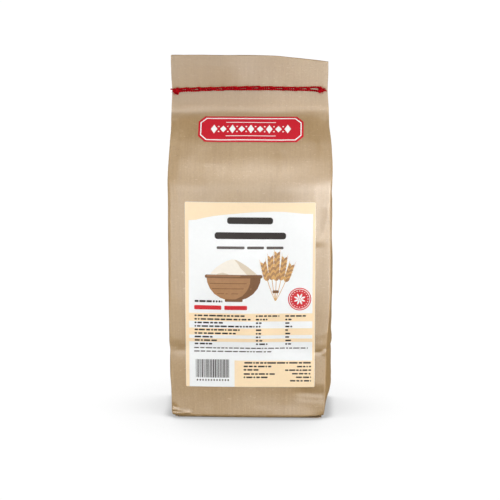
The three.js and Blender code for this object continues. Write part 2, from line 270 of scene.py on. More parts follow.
def relief(s, z, calm=False):
    """How far the real paper stands proud of the plain shape, along its outward normal."""
    s, z = np.broadcast_arrays(np.asarray(s, float), np.asarray(z, float))
    u = np.mod(s, AROUND)
    to_crease = np.minimum.reduce(
        [np.abs(u - c) for c in (0, PANEL_W, PANEL_W + GUSSET_W, 2 * PANEL_W + GUSSET_W, AROUND)]
    )
    away = mix(0.25, 1, ease(to_crease / 9))
    body = ease(z / 12) * (1 - ease((z - FLAT_Z + 10) / 12))
    h = away * body * (
        0.62 * noise_at(s, z, 8, 52, 3)
        + 0.34 * noise_at(s + 0.5 * z, z, 16, 30, 7)
        + 0.13 * noise_at(s - 0.4 * z, z, 34, 15, 11)
    )
    # upright cockles of paper that was made in a web
    fine = 0.3 if calm else 1.0
    h = h + body * away * 0.05 * fine * noise_at(s, z, 96, 70, 19)
    # the crease of the folded bottom, a little uneven along its length
    # above it the filling sags over the crease, and below it the paper comes out again
    line = FOLD_Z - 1.7 + 0.7 * noise_at(s, z * 0, 22, 60, 23)
    sharpness = mix(0.6, 1.0, 0.5 + 0.5 * noise_at(s, z * 0, 14, 60, 29))
    under = ease((u - 12) / 6) * (1 - ease((u - 108) / 6))  # pressed flat by the label
    depth = (0.12 if calm else 1.15) * sharpness * mix(1, 0.25, under) * mix(0.12, 1, ease(to_crease / 6.0))
    inward = ease((np.minimum(u, AROUND - u) - 14) / 30)
    depth = depth * mix(0.53, 0.92, inward)
    tall = mix(6.4, 3.9, ease((u - 20) / 80))
    dz = z - line
    trough = np.where(dz >= 0, 1 - ease(np.maximum(dz, 0) / tall), np.exp(np.minimum(dz, 0) / mix(4.5, 2.2, inward)))
    clear = mix(1, 0.1, ease((u - 5) / 6) * (1 - ease((u - 109) / 6)))  # nothing may stand up through the label
    h = h - depth * trough + clear * depth * 0.42 * bump((dz - tall - 2.6) / 3.4)
    # the pinched corners of the base
    h = h - 1.5 * bump(to_crease / 4.2) * np.clip(1 - (z - 0.2) / 6.5, 0, 1) ** 2
    # the right end of the foot is drawn in, so its paper looks down a little
    h = h - 0.8 * ease((u - 100) / 14) * (1 - ease((u - 135) / 20)) * np.clip(1 - z / 17, 0, 1)
    # the fold low at the right: in under the label, and slowly out again below it
    d = (z - 19.8 + 0.07 * (u - 98)) + 0.0
    wedge = ease((u - 92) / 12) * (1 - ease((u - 117.5) / 3.5))
    k = np.where(d >= 0, 1 - ease(np.maximum(d, 0) / 9.5), 1 - ease(np.maximum(-d, 0) / 8.0))
    h = h - (0.2 if calm else 0.95) * wedge * k + 0.25 * wedge * bump((d + 2.0) / 1.3)
    # folds seen on the front
    if True:
        k = 0.35 if calm else 1.0
        near = np.where(u > 250, u - AROUND, u)  # lets a fold run over the left crease
        for a, b, high, wide, bend in FRONT_FOLDS:
            if calm and 20 < (a[0] + b[0]) / 2 < 100:
                continue
            h = h + k * fold_line(near, z, a, b, high, wide, bend=bend)
    # small folds anywhere, few under the label
    for a, b, high, wide in SMALL_FOLDS:
        k = 0.15 if calm else 1.0
        h = h + k * body * fold_line(u, z, a, b, high, wide, soft=0.3)
    # gussets: the middle crease and the two slanting ones from the base corners
    for side, start in ((1, PANEL_W), (-1, 2 * PANEL_W + GUSSET_W)):
        g = u - start
        inside = (g > 0) & (g < GUSSET_W)
        mid = -0.55 * np.exp(-np.sqrt(((g - 36) / 1.1) ** 2 + 0.03)) * (
            1 - ease((z - 176) / 16)
        )
        slant = 0.0
        for gg in (g, GUSSET_W - g):
            d = (gg - z) / math.sqrt(2)
            slant = slant + 0.4 * np.exp(-np.sqrt((d / 1.2) ** 2 + 0.03)) * (
                1 - ease((gg - 30) / 5)
            ) * ease((gg - 1) / 5)
            # where the fold into the top begins
            lean = (gg * 0.9 - (196 - z)) / 1.35
            slant = slant + 0.55 * np.exp(-np.sqrt((lean / 1.9) ** 2 + 0.03)) * (
                1 - ease((gg - 30) / 6)
            ) * ease((gg - 2) / 6) * ease((z - 150) / 14)
        h = h + np.where(inside, mid + slant, 0)
    # the lap where the paper tube is glued, at the back
    b = u - PANEL_W - GUSSET_W
    h = h + np.where((b > 60) & (b < 100), 0.22 * (1 - ease((b - 84) / 0.3)) * ease((b - 60) / 16), 0)
    return h


def plain(s, z):
    """The plain shape, with rounded edges, up to the cut top. In the pressed flat top the gussets
    are folded in between the two outer plies."""
    s, z = np.broadcast_arrays(np.asarray(s, float), np.asarray(z, float))
    r = edge_round(z)
    x = y = total = 0
    for k in range(-4, 5):
        weight = 5 - abs(k)
        px, py = sharp(s + k * r / 3, z)
        x, y, total = x + px * weight, y + py * weight, total + weight
    x, y = x / total, y / total
    u = np.mod(s, AROUND)
    flat = ease((z - FLAT_Z) / 7)
    pinch = bump((z - seam_z(x)) / 9)
    loose = 0.12 * np.sin(u / 11 + z / 9) + 0.22 * ease((z - 262) / 14)
    gusset = ((u > PANEL_W) & (u < PANEL_W + GUSSET_W)) | (u > 2 * PANEL_W + GUSSET_W)
    y = y * (1 + flat * (loose - 0.22 * pinch)) * np.where(gusset, 1 - 0.14 * flat, 1)
    return x * (1 - 0.01 * pinch * flat), y


def pucker(x, z):
    """The pull of the stitches on the flat top, inwards."""
    d = 0.0
    for i, hx in enumerate(HOLES):
        zz = seam_z(hx)
        d = d - 0.42 * np.exp(-((x - hx) ** 2) / 3.4 - (z - zz) ** 2 / 5.0)
        d = d - 0.1 * np.exp(-((x - hx) ** 2) / 2.2) * np.exp(-np.abs(z - zz) / 7.0)
    return d


def normal_at(s, z):
    e = 0.45
    ax, ay = plain(s - e, z)
    bx, by = plain(s + e, z)
    cx, cy = plain(s, z - e)
    dx, dy = plain(s, z + e)
    t = np.stack([bx - ax, by - ay, np.zeros_like(bx)], -1)
    v = np.stack([dx - cx, dy - cy, np.full_like(dx, 2 * e)], -1)
    n = np.cross(t, v)
    return n / np.maximum(np.linalg.norm(n, axis=-1, keepdims=True), 1e-9)


def skin(s, z, off=0.0, calm=False):
    """Points of the real paper's surface, off millimetres proud of it."""
    s, z = np.broadcast_arrays(np.asarray(s, float), np.asarray(z, float))
    x, y = plain(s, z)
    n = normal_at(s, z)
    u = np.mod(s, AROUND)
    flat = ease((z - FLAT_Z + 2) / 8)
    outer = (u <= PANEL_W) | ((u >= PANEL_W + GUSSET_W) & (u <= 2 * PANEL_W + GUSSET_W))
    h = relief(s, z, calm) * (1 - flat)
    strip = 0.16 * noise_at(s, z, 26, 60, 31) + 0.05 * noise_at(s, z, 60, 24, 37)
    h = h + flat * np.where(outer, strip + pucker(x, z), 0)
    p = np.stack([x, y, z * np.ones_like(x)], -1) + n * (h + off)[..., None]
    p[..., 1] += wave(x, z)
    return p


# ---------------------------------------------------------------- materials
def srgb(r, g, b):
    def lin(c):
        c = c / 255
        return c / 12.92 if c <= 0.04045 else ((c + 0.055) / 1.055) ** 2.4

    return (lin(r), lin(g), lin(b), 1.0)


class Nodes:
    """A small help for writing node trees."""

    def __init__(self, name):
        self.mat = bpy.data.materials.new(name)
        self.mat.use_nodes = True
        self.tree = self.mat.node_tree
        self.tree.nodes.clear()
        self.out = self.tree.nodes.new("ShaderNodeOutputMaterial")
        self.shader = self.tree.nodes.new("ShaderNodeBsdfPrincipled")
        self.tree.links.new(self.shader.outputs[0], self.out.inputs["Surface"])

    def link(self, a, b):
        self.tree.links.new(a, b)

    def node(self, kind, **set_):
        n = self.tree.nodes.new(kind)
        for k, v in set_.items():
            setattr(n, k, v)
        return n

    def uv(self):
        return self.node("ShaderNodeUVMap", uv_map="paper").outputs[0]

    def scaled(self, vector, scale, rotate=0.0, move=(0, 0, 0)):
        n = self.node("ShaderNodeMapping")
        self.link(vector, n.inputs["Vector"])
        n.inputs["Scale"].default_value = scale
        n.inputs["Rotation"].default_value = (0, 0, rotate)
        n.inputs["Location"].default_value = move
        return n.outputs[0]

    def noise(self, vector, scale, detail=2.0, rough=0.5, twist=0.0):
        n = self.node("ShaderNodeTexNoise")
        self.link(vector, n.inputs["Vector"])
        n.inputs["Scale"].default_value = scale
        n.inputs["Detail"].default_value = detail
        n.inputs["Roughness"].default_value = rough
        n.inputs["Distortion"].default_value = twist
        return n.outputs["Fac"]

    def ramp(self, value, lo, hi, a=0.0, b=1.0):
        n = self.node("ShaderNodeMapRange", interpolation_type="SMOOTHSTEP")
        self.link(value, n.inputs["Value"])
        n.inputs["From Min"].default_value = lo
        n.inputs["From Max"].default_value = hi
        n.inputs["To Min"].default_value = a
        n.inputs["To Max"].default_value = b
        return n.outputs["Result"]

    def math(self, kind, a, b):
        n = self.node("ShaderNodeMath", operation=kind)
        for i, v in enumerate((a, b)):
            if hasattr(v, "is_linked"):
                self.link(v, n.inputs[i])
            else:
                n.inputs[i].default_value = v
        return n.outputs[0]

    def mix(self, fac, a, b, kind="MIX"):
        n = self.node("ShaderNodeMix", data_type="RGBA", blend_type=kind)
        for socket, v in ((n.inputs[0], fac), (n.inputs[6], a), (n.inputs[7], b)):
            if hasattr(v, "is_linked"):
                self.link(v, socket)
            else:
                socket.default_value = v
        return n.outputs[2]

    def bump(self, height, distance, strength=1.0, before=None):
        n = self.node("ShaderNodeBump")
        self.link(height, n.inputs["Height"])
        n.inputs["Distance"].default_value = distance
        n.inputs["Strength"].default_value = strength
        if before is not None:
            self.link(before, n.inputs["Normal"])
        return n.outputs[0]

    def attribute(self, name):
        return self.node("ShaderNodeAttribute", attribute_name=name).outputs["Fac"]

    def set(self, socket, v):
        if hasattr(v, "is_linked"):
            self.link(v, self.shader.inputs[socket])
        else:
            self.shader.inputs[socket].default_value = v


def kraft(name, tone=1.0):
    m = Nodes(name)
    uv = m.uv()
    deep, pale = (0.375 * tone, 0.229 * tone, 0.086 * tone, 1), (0.467 * tone, 0.303 * tone, 0.134 * tone, 1)
    cloud = m.noise(m.scaled(uv, (1, 0.7, 1)), 26, 3, 0.55)
    ribs = m.noise(m.scaled(uv, (1, 0.035, 1)), 620, 2, 0.6)
    ribs2 = m.noise(m.scaled(uv, (1, 0.06, 1), 0, (3, 1, 0)), 1500, 2, 0.5)
    grain = m.noise(uv, 620, 3, 0.7)
    fibre = m.noise(m.scaled(uv, (1, 0.22, 1), 0.35), 1100, 1, 0.4, 1.6)
    fibre2 = m.noise(m.scaled(uv, (0.25, 1, 1), 0.5, (5, 2, 0)), 1000, 1, 0.4, 1.8)
    tone_ = m.math("ADD", m.math("MULTIPLY", m.ramp(cloud, 0.3, 0.7), 0.34),
                   m.math("MULTIPLY", m.ramp(ribs, 0.34, 0.66), 0.27))
    tone_ = m.math("ADD", tone_, m.math("MULTIPLY", m.ramp(ribs2, 0.3, 0.7), 0.13))
    tone_ = m.math("ADD", tone_, m.math("MULTIPLY", m.ramp(grain, 0.3, 0.7), 0.42))
    tone_ = m.math("SUBTRACT", tone_, 0.05)
    color = m.mix(tone_, deep, pale)
    color = m.mix(m.ramp(fibre, 0.64, 0.74, 0, 0.34), color, (0.30 * tone, 0.175 * tone, 0.085 * tone, 1))
    color = m.mix(m.ramp(fibre2, 0.66, 0.76, 0, 0.36), color, (0.72 * tone, 0.54 * tone, 0.36 * tone, 1))
    spots = m.node("ShaderNodeTexVoronoi", feature="F1")
    m.link(uv, spots.inputs["Vector"])
    spots.inputs["Scale"].default_value = 260
    color = m.mix(m.ramp(spots.outputs["Distance"], 0.05, 0.10, 0.42, 0), color,
                  (0.16 * tone, 0.085 * tone, 0.04 * tone, 1))
    # painted shade: darkens the paper of the flat top, most at the left
    color = m.mix(m.math("MULTIPLY", m.attribute("flat_top_painted_shade"), 0.45), color, (0.30 * tone, 0.18 * tone, 0.066 * tone, 1))
    wear = m.attribute("wear")
    color = m.mix(m.math("MULTIPLY", wear, 0.55), color, (0.70 * tone, 0.53 * tone, 0.36 * tone, 1))
    m.set("Base Color", color)
    m.set("Roughness", m.ramp(m.math("ADD", m.math("MULTIPLY", ribs, 0.5), m.math("MULTIPLY", cloud, 0.5)),
                              0.3, 0.7, 0.37, 0.47))
    m.set("IOR", 1.8)
    m.set("Specular IOR Level", 0.74)
    b = m.bump(ribs, 0.00012, 0.5)
    b = m.bump(ribs2, 0.00006, 0.5, b)
    b = m.bump(grain, 0.00010, 0.6, b)
    m.set("Normal", b)
    return m.mat


def cord_material(name):
    m = Nodes(name)
    geo = m.node("ShaderNodeTexCoord").outputs["Object"]
    lumps = m.noise(geo, 900, 3, 0.6)
    fine = m.noise(m.scaled(geo, (1, 1, 1), 0.8), 4200, 2, 0.6)
    color = m.mix(m.ramp(lumps, 0.3, 0.7), (0.30, 0.0015, 0.0050, 1), (0.52, 0.003, 0.010, 1))
    color = m.mix(m.ramp(fine, 0.6, 0.8, 0, 0.25), color, (0.72, 0.02, 0.03, 1))
    m.set("Base Color", color)
    m.set("Roughness", m.ramp(lumps, 0.3, 0.7, 0.62, 0.82))
    m.set("Sheen Weight", 0.05)
    m.set("Sheen Roughness", 0.5)
    m.set("Sheen Tint", (1.0, 0.12, 0.12, 1))
    m.set("Specular IOR Level", 0.06)
    m.set("Normal", m.bump(fine, 0.00012, 0.6))
    return m.mat


def print_material(name, color, depth=0.06, rough=(0.34, 0.42), gloss=0.35):
    """Ink or coated label paper: nearly even, with a faint mottle of the print."""
    m = Nodes(name)
    geo = m.node("ShaderNodeTexCoord").outputs["Object"]
    mottle = m.noise(geo, 420, 3, 0.6)
    fine = m.noise(geo, 2600, 2, 0.6)
    t = m.math("ADD", m.math("MULTIPLY", mottle, 0.6), m.math("MULTIPLY", fine, 0.4))
    dark = tuple(c * (1 - depth) for c in color[:3]) + (1,)
    light = tuple(min(1, c * (1 + depth * 0.4)) for c in color[:3]) + (1,)
    m.set("Base Color", m.mix(m.ramp(t, 0.3, 0.7), dark, light))
    m.set("Roughness", m.ramp(mottle, 0.3, 0.7, *rough))
    m.set("Specular IOR Level", gloss)
    m.set("Normal", m.bump(fine, 0.00003, 0.4))
    return m.mat


KRAFT = kraft("kraft_paper")
KRAFT_BASE = kraft("kraft_base", 0.93)
CORD = cord_material("red_cord")
WHITE = print_material("label_white", (0.92, 0.93, 0.925), 0.02)
PEACH = print_material("ink_peach", srgb(254, 228, 188), 0.03)
DARK = print_material("ink_dark", srgb(48, 40, 36), 0.15)
GREY = print_material("ink_grey", srgb(92, 84, 80), 0.1)
SEAL_RED = print_material("ink_red", srgb(214, 24, 34), 0.08)
TAN = print_material("ink_tan", srgb(176, 128, 82), 0.1)
BROWN = print_material("ink_brown", srgb(128, 86, 50), 0.1)
STRAW = print_material("ink_straw", srgb(216, 168, 98), 0.1)
CREAM = print_material("ink_cream", srgb(246, 238, 224), 0.03)
SHADE = print_material("ink_shade", srgb(224, 208, 184), 0.04)
BADGE_RED = print_material("badge_red", srgb(203, 26, 44), 0.06, (0.40, 0.48), 0.2)


# ---------------------------------------------------------------- making pieces
def piece(name, verts, faces, mats, uv=None, wear=None, index=None, smooth=True, stage=False):
    mesh = bpy.data.meshes.new(name)
    mesh.from_pydata([tuple(v) for v in np.asarray(verts) * MM], [], [tuple(int(i) for i in f) for f in faces])
    for m in mats:
        mesh.materials.append(m)
    if index is not None:
        mesh.polygons.foreach_set("material_index", index)
    mesh.polygons.foreach_set("use_smooth", [smooth] * len(mesh.polygons))
    if uv is not None:
        layer = mesh.uv_layers.new(name="paper")
        loops = np.empty(len(mesh.loops), dtype=np.int64)
        mesh.loops.foreach_get("vertex_index", loops)
        layer.data.foreach_set("uv", (np.asarray(uv)[loops] * MM).astype(np.float32).ravel())
    if wear is not None:
        a = mesh.attributes.new("wear", "FLOAT", "POINT")
        a.data.foreach_set("value", np.asarray(wear, dtype=np.float32))
    mesh.validate()
    mesh.update()
    o = bpy.data.objects.new(name, mesh)
    bpy.context.scene.collection.objects.link(o)
    if stage:
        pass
    else:
        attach(o, "root")
    return o


def stations(width, step, near):
    """Places across a panel: step apart, closer beside its creases."""
    edge = [0, 0.35, 0.8, 1.4, 2.1, 3.0, 4.0]
    lo = [e for e in edge if e < near]
    n = max(2, round((width - 2 * near) / step))
    return lo + [near + (width - 2 * near) * i / n for i in range(n + 1)] + [width - e for e in reversed(lo) if e]


front_s = stations(PANEL_W, 1.05, 5.0)
right_s = [PANEL_W + v for v in stations(GUSSET_W, 1.6, 5.0)]
back_s = [PANEL_W + GUSSET_W + v for v in stations(PANEL_W, 1.7, 5.0)]
back_s = sorted(set(back_s) | {PANEL_W + GUSSET_W + v for v in (84.0, 84.15, 84.3)})
left_s = [2 * PANEL_W + GUSSET_W + v for v in stations(GUSSET_W, 1.6, 5.0)]
ring_s = np.array(front_s + right_s + back_s + left_s)
N = len(ring_s)

rows = [BASE_Z + v for v in (0.0, 0.08, 0.25, 0.55, 1.0, 1.6, 2.3, 3.1, 3.8, 4.6, 5.3)]
z = 6.0
while z < FLAT_Z - 6:
    rows.append(z)
    z += 0.8 if 48 < z < 62 else (1.15 if z > 172 or z < 30 else 1.4)
rows += [FLAT_Z + v for v in (-5.2, -4.4, -3.6, -2.9, -2.2, -1.6, -1.1, -0.6, -0.2, 0.2, 0.7, 1.3, 2.1, 3.0)]
flat_rows = len(rows)
shares = np.concatenate([np.linspace(0.09, 1, 40)])

grid = [skin(ring_s, np.full(N, zz)) for zz in rows]
uvs = [np.stack([ring_s, np.full(N, zz)], -1) for zz in rows]
xs_for_top = plain(ring_s, np.full(N, 260.0))[0]
tops = top_edge(xs_for_top) + 0.12 * noise_at(ring_s, 0 * ring_s, 40, 60, 43)
# the gussets are cut with the panels, so their plies end at the same line
for share in shares:
    zz = FLAT_Z + (tops - FLAT_Z) * share
    grid.append(skin(ring_s, zz))
    uvs.append(np.stack([ring_s, zz], -1))
# the cut rim: over the ply's thickness and down inside the mouth
outer_top = grid[-1]
u = np.mod(ring_s, AROUND)
is_panel = (u <= PANEL_W) | ((u >= PANEL_W + GUSSET_W) & (u <= 2 * PANEL_W + GUSSET_W))
sway = wave(outer_top[:, 0], outer_top[:, 2])
for down, thin in ((0.0, 0.3), (2.5, 0.3), (8.0, 0.34)):
    p = outer_top.copy()
    rel = p[:, 1] - sway
    panel_y = np.sign(rel) * np.maximum(np.abs(rel) - thin, 0.12)
    gus_y = np.sign(rel) * np.minimum(np.abs(rel) + 0.8 * thin, 0.66)
    p[:, 1] = np.where(is_panel, panel_y, gus_y) + sway
    p[:, 0] = np.clip(p[:, 0], -59.4, 59.4)
    p[:, 2] -= down
    grid.append(p)
    uvs.append(np.stack([ring_s, tops - down], -1))
verts = np.concatenate(grid)
uv = np.concatenate(uvs)
R = len(grid)
# seam of the unwrapped paper: one more column of vertices would split the mesh, so the first
# column is repeated with its own place on the paper
extra = verts.reshape(R, N, 3)[:, 0]
verts = np.concatenate([verts.reshape(R, N, 3), extra[:, None]], 1).reshape(-1, 3)
uv = np.concatenate([uv.reshape(R, N, 2), (uv.reshape(R, N, 2)[:, :1] + [AROUND, 0])], 1).reshape(-1, 2)
M = N + 1
i, j = np.meshgrid(np.arange(R - 1), np.arange(N), indexing="ij")
a = (i * M + j).ravel()
faces = np.stack([a, a + 1, a + 1 + M, a + M], -1)
# wear: paler along vertical creases, the bottom fold and the base's edge
uu = np.mod(uv[:, 0], AROUND)
zz = uv[:, 1]
edge_d = np.minimum.reduce(
    [np.abs(uu - c) for c in (0, PANEL_W, PANEL_W + GUSSET_W, 2 * PANEL_W + GUSSET_W, AROUND)]
)
spotty = 0.5 + 0.5 * noise_at(uv[:, 0], zz, 90, 7, 51)
wear = 0.75 * np.exp(-edge_d / 0.7) * mix(0.25, 1, spotty) * np.where(zz > 200, 0.5, 1.0)
wear += 0.4 * np.exp(-np.abs(zz - FOLD_Z - 1.4) / 0.9) * mix(0.1, 1, spotty)
wear += 0.7 * np.exp(-np.maximum(zz - BASE_Z - 1.2, 0) / 1.0) * spotty
wear = np.clip(wear, 0, 1)
# the base: a centre grid under the ring
ring0 = verts.reshape(R, M, 3)[0, :N]
base_rings = [ring0]
centre = ring0.mean(0)
base_verts, base_faces = [], []
start = len(verts)
K = 6
for k in range(1, K):
    t = k / K
    r = mix(ring0, centre, t)
    r[:, 2] = BASE_Z + 0.35 * ease(t * 1.5)
    base_verts.append(r)
base_verts.append(np.array([[centre[0], centre[1], BASE_Z + 0.35]]))
for k in range(K - 1):
    lo = (lambda q: q) if k == 0 else (lambda q, o=start + (k - 1) * N: o + q)
    hi = start + k * N
    for q in range(N):
        r = (q + 1) % N
        base_faces.append((lo(r) if k else r, lo(q) if k else q, hi + q, hi + r))
tip = start + (K - 1) * N
for q in range(N):
    base_faces.append((tip - N + (q + 1) % N, tip - N + q, tip))
base_pts = np.concatenate(base_verts)
verts = np.concatenate([verts, base_pts])
uv = np.concatenate([uv, base_pts[:, :2] + [500, 0]])
wear = np.concatenate([wear, np.zeros(len(base_pts))])
faces = [tuple(f) for f in faces] + base_faces
bag = piece("bag_paper", verts, faces, [KRAFT], uv, wear)
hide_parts("bag")
# painted shade: the flat top is painted darker, most at the left, in place of the sheen it lacks there; a correction
# of the look towards the photograph
flat_top_painted_shade = ease((verts[:, 2] - 226) / 8) * (0.5 - 0.5 * np.tanh((verts[:, 0] - 20) / 20))
bag.data.attributes.new("flat_top_painted_shade", "FLOAT", "POINT").data.foreach_set("value", flat_top_painted_shade.astype(np.float32))


# ---------------------------------------------------------------- flat shapes laid on the front
class Sheet:
    """A plane (x, v) laid on the front of the bag."""

    def __init__(self, x0, x1, z0, z1, calm):
        self.calm = calm
        zs = np.linspace(z0 - 1, z1 + 1, 600)
        p = skin(np.full(600, 60 + (x0 + x1) / 2), zs, 0, calm)
        step = np.linalg.norm(np.diff(p, axis=0), axis=1)
        v = np.concatenate([[0], np.cumsum(step)])
        self.v0 = np.interp(z0, zs, v)
        self.zs, self.vs = zs, v - self.v0
        self.height = np.interp(z1, zs, self.vs)

    def lay(self, xv, off):
        """Places (x, v) of the sheet on the bag, so that x stays x in space."""
        xv = np.asarray(xv, float)
        z = np.interp(xv[:, 1], self.vs, self.zs)
        s = 60 + xv[:, 0]
        for _ in range(4):
            s = s + xv[:, 0] - plain(s, z)[0]
        return skin(s, z, off, self.calm)


def cut_up(polygons, cuts_x, cuts_v):
    """Triangles of flat polygons, cut along grid lines so that they can bend."""
    bm = bmesh.new()
    for poly, mat, *layer in polygons:
        try:
            f = bm.faces.new([bm.verts.new((p[0], p[1], layer[0] * 0.006 if layer else 0)) for p in poly])
            f.material_index = mat
        except ValueError:
            continue
    bm.normal_update()
    flip = [f for f in bm.faces if f.normal.z < 0]
    bmesh.ops.reverse_faces(bm, faces=flip)
    big = [f for f in bm.faces if len(f.verts) > 4]
    bmesh.ops.triangulate(bm, faces=big)
    lo = [min(v.co[i] for v in bm.verts) for i in (0, 1)]
    hi = [max(v.co[i] for v in bm.verts) for i in (0, 1)]
    for axis, cuts in ((0, cuts_x), (1, cuts_v)):
        for c in cuts:
            if lo[axis] < c < hi[axis]:
                n, p = Vector((0, 0, 0)), Vector((0, 0, 0))
                n[axis] = 1
                p[axis] = c
                bmesh.ops.bisect_plane(
                    bm, geom=bm.verts[:] + bm.edges[:] + bm.faces[:], plane_co=p, plane_no=n, dist=1e-4
                )
    bm.verts.index_update()
    pts = np.array([v.co[:] for v in bm.verts])
    faces = [[v.index for v in f.verts] for f in bm.faces]
    index = [f.material_index for f in bm.faces]
    bm.free()
    return pts, faces, index


def ink(name, sheet, polygons, mats, off, cuts_x, cuts_v):
    pts, faces, index = cut_up(polygons, cuts_x, cuts_v)
    return piece(name, sheet.lay(pts[:, :2], off + pts[:, 2]), faces, mats, index=index)


def solid_sheet(name, sheet, outline, mat, off, thick, cuts_x, cuts_v):
    """A sticker with a real thickness: face, thin edge and back."""
    pts, faces, _ = cut_up([(outline, 0)], cuts_x, cuts_v)
    front = sheet.lay(pts[:, :2], off + thick)
    back = sheet.lay(pts[:, :2], off)
    n = len(pts)
    count = {}
    for f in faces:
        for a, b in zip(f, f[1:] + f[:1]):
            count[(a, b)] = count.get((a, b), 0) + 1
    rim = [(a, b) for (a, b) in count if (b, a) not in count]
    all_faces = faces + [[n + v for v in reversed(f)] for f in faces]
    all_faces += [[b, a, n + a, n + b] for a, b in rim]
    o = piece(name, np.concatenate([front, back]), all_faces, [mat])
    return o


def rounded(x0, x1, y0, y1, r, steps=5):
    r = min(r, (x1 - x0) / 2, (y1 - y0) / 2)
    pts = []
    for cx, cy, a0 in ((x1 - r, y0 + r, -90), (x1 - r, y1 - r, 0), (x0 + r, y1 - r, 90), (x0 + r, y0 + r, 180)):
        for k in range(steps + 1):
            a = math.radians(a0 + 90 * k / steps)
            pts.append((cx + r * math.cos(a), cy + r * math.sin(a)))
    return pts


def disc(cx, cy, r, n=40, squash=1.0, turn=0.0):
    return [
        (
            cx + r * math.cos(2 * math.pi * k / n) * math.cos(turn) - r * squash * math.sin(2 * math.pi * k / n) * math.sin(turn),
            cy + r * math.cos(2 * math.pi * k / n) * math.sin(turn) + r * squash * math.sin(2 * math.pi * k / n) * math.cos(turn),
        )
        for k in range(n)
    ]


def ring(cx, cy, r0, r1, n=44):
    out = []
    for k in range(n):
        a, b = 2 * math.pi * k / n, 2 * math.pi * (k + 1) / n
        out.append(
            [
                (cx + r0 * math.cos(a), cy + r0 * math.sin(a)),
                (cx + r1 * math.cos(a), cy + r1 * math.sin(a)),
                (cx + r1 * math.cos(b), cy + r1 * math.sin(b)),
                (cx + r0 * math.cos(b), cy + r0 * math.sin(b)),
            ]
        )
    return out


# ---------------------------------------------------------------- the large label
main = Sheet(*LABEL, calm=True)
H = main.height
W0, W1 = LABEL[0], LABEL[1]
# design units: 131 wide and 185 high, from the top left corner down
UX, UV = (W1 - W0) / 131.0, H / 185.0


def at(x, y):
    return (W0 + x * UX, H - y * UV)


def shape(points):
    return [at(*p) for p in points]


cuts_x = list(np.arange(W0 + 4, W1, 4.0))
cuts_v = list(np.arange(4, H, 4.0)) + list(np.arange(FOLD_Z - LABEL[2] - 7, FOLD_Z - LABEL[2] + 8, 1.0))
label = solid_sheet(
    "label_sheet", main, rounded(W0, W1, 0, H, 1.0, 3), WHITE, 0.12, 0.16, cuts_x, cuts_v
)
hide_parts("label")
FACE = 0.12 + 0.16
wavy = [(3.6, 18.0), (11, 17.5), (20, 15.2), (29, 13.6), (40, 12.2), (53, 10.9), (65, 9.8), (77, 9.1),
        (90, 8.7), (99, 9.0), (110, 10.0), (120, 11.1), (128.3, 11.4)]
peach = [
    shape([(0.2, 0.2), (130.8, 0.2), (130.8, 11.4)] + wavy[::-1] + [(0.2, 18.0)]),
    shape([(0.2, 18.0), (3.6, 18.0), (3.6, 184.8), (0.2, 184.8)]),
    shape([(128.3, 11.4), (130.8, 11.4), (130.8, 158), (128.3, 158)]),
    shape([(49.6, 158), (130.8, 158), (130.8, 184.8), (49.6, 184.8)]),
]
for y0, y1 in ((110, 118), (125, 132), (135.5, 139)):
    peach.append(shape([(3.6, y0), (128.3, y0), (128.3, y1), (3.6, y1)]))
ink("label_peach", main, [(p, 0) for p in peach], [PEACH], FACE + 0.03, cuts_x, cuts_v)

marks = random.Random(7)


def words(x0, x1, y, high, mat, out, longest=9.0):
    """A row of short bars where small print would be."""
    x = x0
    while x < x1 - 0.8:
        w = min(marks.uniform(1.6, longest), x1 - x)
        out.append((shape(rounded(x, x + w, y - high / 2, y + high / 2, high * 0.3, 2)), mat))
        x += w + marks.uniform(0.7, 1.2)


dark = []  # materials: 0 dark, 1 grey, 2 red
# the two lines of the title and the line under them, as plain bars
dark.append((shape(rounded(42.5, 88.5, 14.6, 21.2, 2.6)), 0))
dark.append((shape(rounded(30.0, 101.5, 29.4, 36.0, 2.6)), 0))
for x0, x1 in ((32.0, 60.0), (62.5, 79.5), (82.0, 99.0)):
    dark.append((shape(rounded(x0, x1, 43.2, 45.8, 1.0)), 1))
words(9.5, 37.5, 98.0, 2.0, 0, dark)
for x0, x1 in ((9.0, 36.5), (39.5, 62.5)):
    dark.append((shape(rounded(x0, x1, 102.2, 106.4, 1.0)), 2))
table_ends = [60, 66, 38, 70, 55, 51, 29, 33, 27]
mids = [95, 83, 78, 77, 78, 77, 76, 78, 83]
last = [123, 108, 106, 108, 105, 106, 105, 107, 107]
for n in range(9):
    y = 112.5 + 3.57 * n
    words(9.2, table_ends[n], y, 1.6, 0, dark, 7.0)
    words(71.3, mids[n], y, 1.6, 0, dark, 6.0)
    words(101.0, last[n], y, 1.6, 0, dark, 6.0)
words(8.6, 124.0, 145.3, 1.2, 1, dark, 8.0)
words(8.6, 87.0, 148.8, 1.2, 1, dark, 8.0)
# upright bars in no code
x = 10.2
while x < 44.8:
    w = marks.choice((0.45, 0.45, 0.8, 0.8, 1.2))
    dark.append((shape([(x, 157.0), (x + w, 157.0), (x + w, 175.6), (x, 175.6)]), 0))
    x += w + marks.choice((0.4, 0.5, 0.65, 0.8))
for k in range(12):
    x = 11.0 + k * 2.85
    dark.append((shape(rounded(x, x + 1.5, 177.2, 179.0, 0.3, 2)), 1))
words(59.5, 127.0, 160.2, 1.6, 0, dark, 9.0)
for y, x1 in ((163.9, 87.0), (167.4, 74.0), (171.6, 90.5), (175.0, 84.0)):
    words(58.8, x1, y, 1.6, 0, dark, 7.0)
for y, x0 in ((164.0, 113.0), (167.6, 101.0), (171.2, 108.0), (174.8, 112.0), (178.4, 106.0)):
    words(x0, 127.4, y, 1.5, 0, dark, 7.0)
ink("label_marks", main, dark, [DARK, GREY, SEAL_RED], FACE + 0.06, cuts_x, cuts_v)

